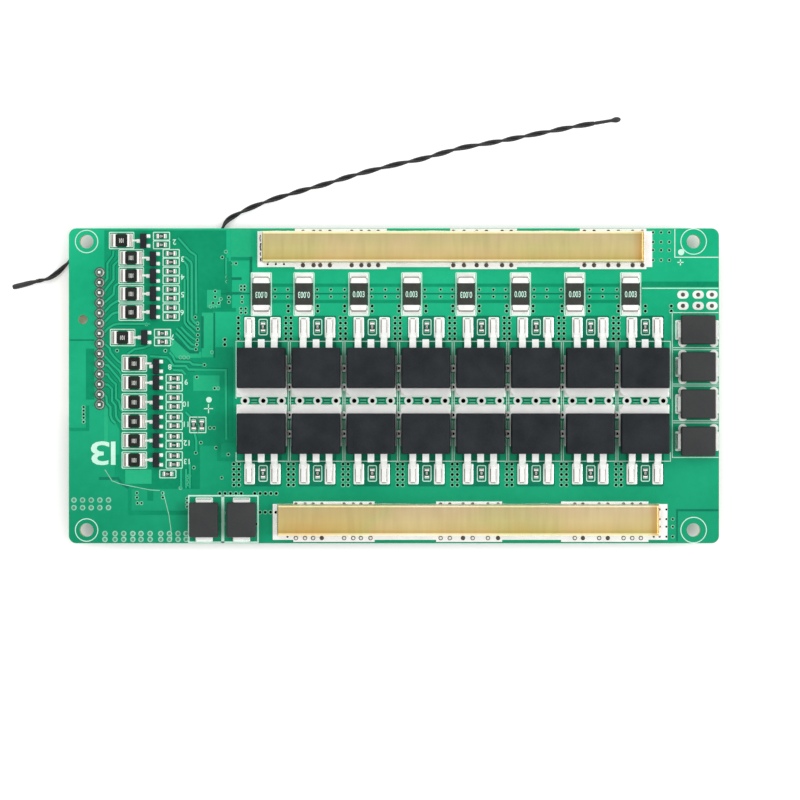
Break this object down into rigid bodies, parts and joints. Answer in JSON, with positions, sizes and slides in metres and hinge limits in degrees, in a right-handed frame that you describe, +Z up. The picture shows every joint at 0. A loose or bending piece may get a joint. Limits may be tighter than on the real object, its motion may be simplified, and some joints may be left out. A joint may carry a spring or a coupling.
{
  "type": "battery management board",
  "caption": "Battery pack protection board with power transistor rows, brass busbars, shunts, balancing channels, cell connector under one end and sensor leads.",
  "frame": {"origin": "centre of the board's outline, on the surface it stands on", "axes": "+X along the board away from the cell connector, +Y across it towards the long sensor lead, +Z up from the surface through the board"},
  "size_m": [0.1399, 0.0846, 0.0109],
  "materials": {
    "solder_mask_laminate": "satin green solder mask over glass laminate",
    "solder": "bright solder",
    "busbar_metal": "drawn and lightly worn",
    "moulded_package": "fine matt epoxy",
    "shunt_body": "matt coating",
    "tinned_terminal": "tin plated",
    "resistor_ceramic": "dark glaze",
    "connector_housing": "natural nylon",
    "lead_insulation": "soft black insulation",
    "sensor_sleeve": "shrunk black sleeve"
  },
  "bodies": {
    "root": {"circuit_board": "solder_mask_laminate", "rear_solder_land": "solder", "front_solder_land": "solder", "rear_busbar": "busbar_metal", "front_busbar": "busbar_metal", "mosfet_rear_1": "moulded_package", "mosfet_rear_2": "moulded_package", "mosfet_rear_3": "moulded_package", "mosfet_rear_4": "moulded_package", "mosfet_rear_5": "moulded_package", "mosfet_rear_6": "moulded_package", "mosfet_rear_7": "moulded_package", "mosfet_rear_8": "moulded_package", "mosfet_front_1": "moulded_package", "mosfet_front_2": "moulded_package", "mosfet_front_3": "moulded_package", "mosfet_front_4": "moulded_package", "mosfet_front_5": "moulded_package", "mosfet_front_6": "moulded_package", "mosfet_front_7": "moulded_package", "mosfet_front_8": "moulded_package", "rear_mosfet_leads": "tinned_terminal", "front_mosfet_leads": "tinned_terminal", "shunt_resistor_1": "shunt_body", "shunt_resistor_2": "shunt_body", "shunt_resistor_3": "shunt_body", "shunt_resistor_4": "shunt_body", "shunt_resistor_5": "shunt_body", "shunt_resistor_6": "shunt_body", "shunt_resistor_7": "shunt_body", "shunt_resistor_8": "shunt_body", "shunt_terminals": "tinned_terminal", "clamp_diode_1": "moulded_package", "clamp_diode_2": "moulded_package", "clamp_diode_3": "moulded_package", "clamp_diode_4": "moulded_package", "input_diode_1": "moulded_package", "input_diode_2": "moulded_package", "diode_terminals": "tinned_terminal", "balance_resistors": "resistor_ceramic", "balance_resistor_caps": "tinned_terminal", "balance_transistors": "moulded_package", "balance_transistor_leads": "tinned_terminal", "chip_resistors": "resistor_ceramic", "chip_resistor_caps": "tinned_terminal", "gate_resistors": "resistor_ceramic", "gate_resistor_caps": "tinned_terminal", "cell_connector_housing": "connector_housing", "cell_connector_pins": "tinned_terminal", "connector_solder_joints": "solder", "controller_ic_1": "moulded_package", "controller_ic_2": "moulded_package", "controller_leads": "tinned_terminal", "long_sensor_lead": "lead_insulation", "long_sensor_tip": "sensor_sleeve", "short_sensor_lead": "lead_insulation", "short_sensor_tip": "sensor_sleeve"}
  },
  "joints": []
}
